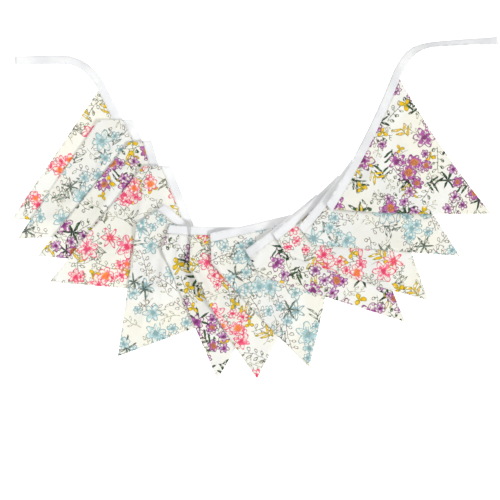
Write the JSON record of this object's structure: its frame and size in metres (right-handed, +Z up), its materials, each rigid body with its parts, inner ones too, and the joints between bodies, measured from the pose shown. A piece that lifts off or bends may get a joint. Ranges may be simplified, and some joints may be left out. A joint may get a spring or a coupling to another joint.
{
  "type": "fabric bunting",
  "caption": "String of triangular printed cotton pennants sewn side by side into a white folded tape, laid out overlapping in a fan with both tape ends free.",
  "frame": {"origin": "middle of the whole laid-out string, on the surface it lies on", "axes": "+Z up from the surface; +X along the fan from the first free tape end to the last; +Y from the pennants' tips towards the tape ends"},
  "size_m": [0.5832, 0.4104, 0.0178],
  "materials": {
    "print_pink": "plain-weave cream cotton printed with coral pink flowers and olive sprigs",
    "print_blue": "plain-weave cream cotton printed with pale blue flowers and grey-green leaves",
    "print_purple": "plain-weave cream cotton printed with purple flowers, yellow blossoms and dark green leaves",
    "tape": "white folded cotton bias tape with a stitched edge"
  },
  "bodies": {
    "root": {"pennant_01": "print_pink", "pennant_02": "print_blue", "pennant_03": "print_purple", "pennant_04": "print_pink", "pennant_05": "print_blue", "pennant_06": "print_purple", "pennant_07": "print_pink", "pennant_08": "print_blue", "pennant_09": "print_purple", "pennant_10": "print_pink", "pennant_11": "print_blue", "pennant_12": "print_purple", "tape": "tape"}
  },
  "joints": []
}
